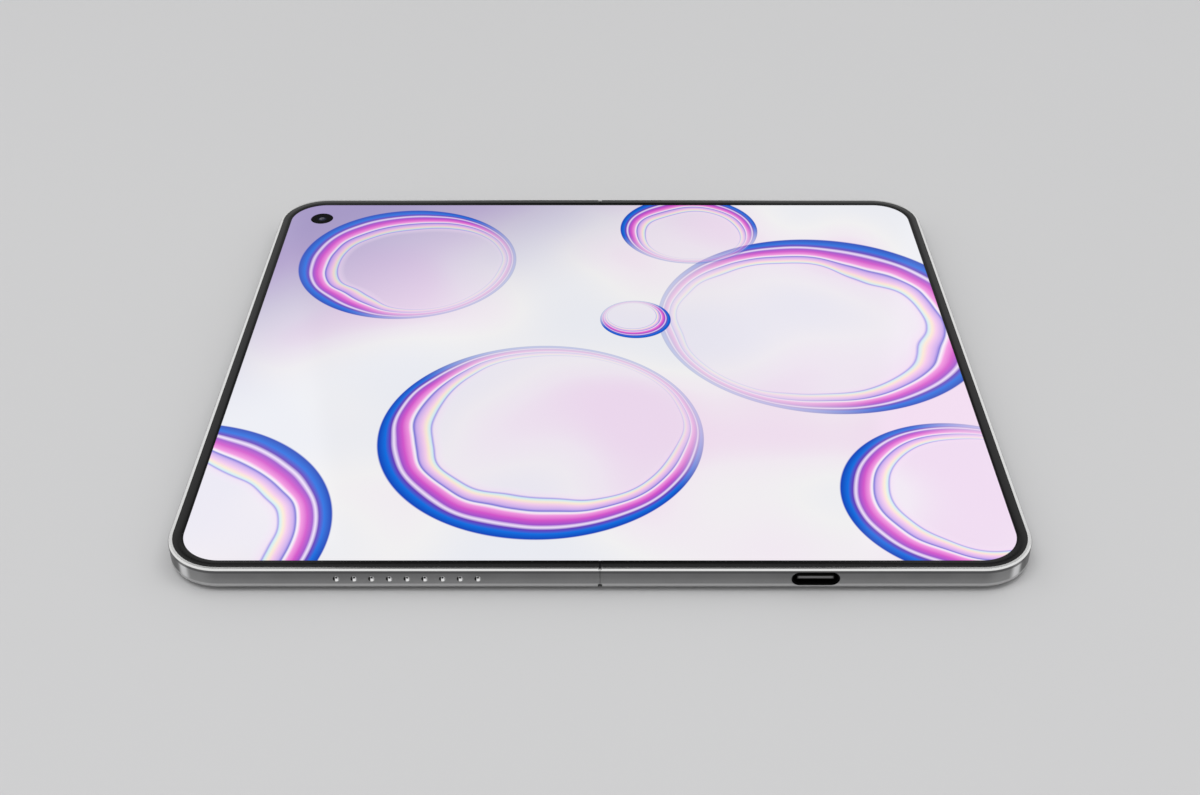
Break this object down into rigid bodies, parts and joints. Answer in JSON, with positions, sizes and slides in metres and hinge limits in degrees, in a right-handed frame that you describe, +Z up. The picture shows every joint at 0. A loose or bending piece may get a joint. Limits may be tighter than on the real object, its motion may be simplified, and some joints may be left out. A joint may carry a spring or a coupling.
{
  "type": "foldable smartphone",
  "caption": "Book-style foldable smartphone, open and flat, with a synchronised dual-axis hinge, folding inner display, cover screen, rear camera island, keys and SIM tray.",
  "frame": {"origin": "centre of the footprint, under the middle of the fold, on the surface the open phone lies on", "axes": "+X across both halves to the side with the keys, +Y along the fold away from the charging port, +Z up out of the inner display"},
  "size_m": [0.1602, 0.143, 0.0051],
  "materials": {
    "frame_aluminium": "fine bead-blasted sides, polished rim chamfer",
    "back_glass": "etched satin glass over a dark film",
    "cover_glass": "glossy glass over a black screen",
    "island_metal": "brushed island, turned lens rings",
    "lens_glass": "coated lens glass",
    "flash_plastic": "ribbed diffuser",
    "black_plastic": "fine matt",
    "battery_foil": "satin pouch foil",
    "copper_flex": "copper under amber film",
    "circuit_board": "solder mask",
    "hinge_steel": "bright steel",
    "inner_display": "glossy folding panel, lit",
    "bezel_black": "soft matt trim",
    "cover_display": "unlit panel",
    "speaker_mesh": "woven wire, blackened"
  },
  "bodies": {
    "main_half": {"right_frame": "frame_aluminium", "back_glass": "back_glass", "camera_island": "island_metal", "camera_rings": "island_metal", "camera_windows": "lens_glass", "main_camera": "black_plastic", "wide_camera": "black_plastic", "tele_camera": "black_plastic", "flash_window": "flash_plastic", "right_battery": "battery_foil", "charging_coil": "copper_flex", "main_board": "circuit_board", "main_shields": "hinge_steel", "sub_board": "circuit_board", "usb_shell": "hinge_steel", "usb_tongue": "black_plastic", "vibration_motor": "hinge_steel", "top_speaker": "black_plastic", "key_switches": "copper_flex", "right_board_screws": "hinge_steel", "right_panel": "inner_display", "right_support_plate": "hinge_steel", "right_bezel": "bezel_black", "right_hinge_arms": "hinge_steel", "right_arm_screws": "hinge_steel"},
    "hinge_spine": {"spine_cover": "frame_aluminium", "hinge_base_near": "hinge_steel", "hinge_base_far": "hinge_steel", "sync_bracket": "hinge_steel", "gear_shafts": "hinge_steel", "spine_screws": "hinge_steel", "display_bend_zone": "inner_display", "hinge_flex": "copper_flex"},
    "cover_half": {"left_frame": "frame_aluminium", "left_battery": "battery_foil", "left_board": "circuit_board", "left_shields": "hinge_steel", "left_board_screws": "hinge_steel", "left_panel": "inner_display", "left_support_plate": "hinge_steel", "left_bezel": "bezel_black", "left_hinge_arms": "hinge_steel", "left_arm_screws": "hinge_steel", "cover_glass": "cover_glass", "cover_panel": "cover_display", "cover_camera": "black_plastic", "cover_camera_window": "lens_glass", "bottom_speaker": "black_plastic", "speaker_mesh": "speaker_mesh", "inner_camera": "black_plastic", "inner_camera_window": "lens_glass"},
    "volume_rocker": {"volume_key": "frame_aluminium"},
    "power_button": {"power_key": "frame_aluminium"},
    "sim_drawer": {"sim_tray": "frame_aluminium"},
    "sync_arm_left": {"sync_arm_left": "hinge_steel"},
    "sync_arm_right": {"sync_arm_right": "hinge_steel"},
    "idler_gear_left": {"idler_gear_left": "hinge_steel"},
    "idler_gear_right": {"idler_gear_right": "hinge_steel"}
  },
  "joints": [
    {"name": "main_fold", "type": "hinge", "parent": "hinge_spine", "child": "main_half", "pos_m": [0.00012, 0, 0.0051], "axis": [0, -1, 0], "range_deg": [0, 90], "deforming": ["display_bend_zone", "hinge_flex"]},
    {"name": "cover_fold", "type": "hinge", "parent": "hinge_spine", "child": "cover_half", "pos_m": [-0.00012, 0, 0.0051], "axis": [0, 1, 0], "range_deg": [0, 90], "deforming": ["display_bend_zone", "hinge_flex"]},
    {"name": "sync_left_turn", "type": "hinge", "parent": "hinge_spine", "child": "sync_arm_left", "pos_m": [-0.0018, 0, 0.00342], "axis": [0, 1, 0], "range_deg": [0, 90]},
    {"name": "idler_left_turn", "type": "hinge", "parent": "hinge_spine", "child": "idler_gear_left", "pos_m": [-0.0006, 0, 0.00342], "axis": [0, 1, 0], "range_deg": [-90, 0]},
    {"name": "idler_right_turn", "type": "hinge", "parent": "hinge_spine", "child": "idler_gear_right", "pos_m": [0.0006, 0, 0.00342], "axis": [0, 1, 0], "range_deg": [0, 90]},
    {"name": "sync_right_turn", "type": "hinge", "parent": "hinge_spine", "child": "sync_arm_right", "pos_m": [0.0018, 0, 0.00342], "axis": [0, 1, 0], "range_deg": [-90, 0]},
    {"name": "volume_press", "type": "hinge", "parent": "main_half", "child": "volume_rocker", "pos_m": [0.07835, 0.0385, 0.003], "axis": [0, 0, 1], "range_deg": [-1, 1], "stiffness_Nm_per_rad": 0.05},
    {"name": "power_press", "type": "slide", "parent": "main_half", "child": "power_button", "axis": [-1, 0, 0], "range_m": [0, 0.0002], "stiffness_N_per_m": 400, "springref_m": -0.0005},
    {"name": "sim_tray_slide", "type": "slide", "parent": "cover_half", "child": "sim_drawer", "axis": [-1, 0, 0], "range_m": [0, 0.0125]}
  ],
  "couplings": [
    {"joint": "cover_fold", "follows": "main_fold", "ratio": 1},
    {"joint": "sync_left_turn", "follows": "main_fold", "ratio": 1},
    {"joint": "idler_left_turn", "follows": "main_fold", "ratio": -1},
    {"joint": "idler_right_turn", "follows": "main_fold", "ratio": 1},
    {"joint": "sync_right_turn", "follows": "main_fold", "ratio": -1}
  ]
}
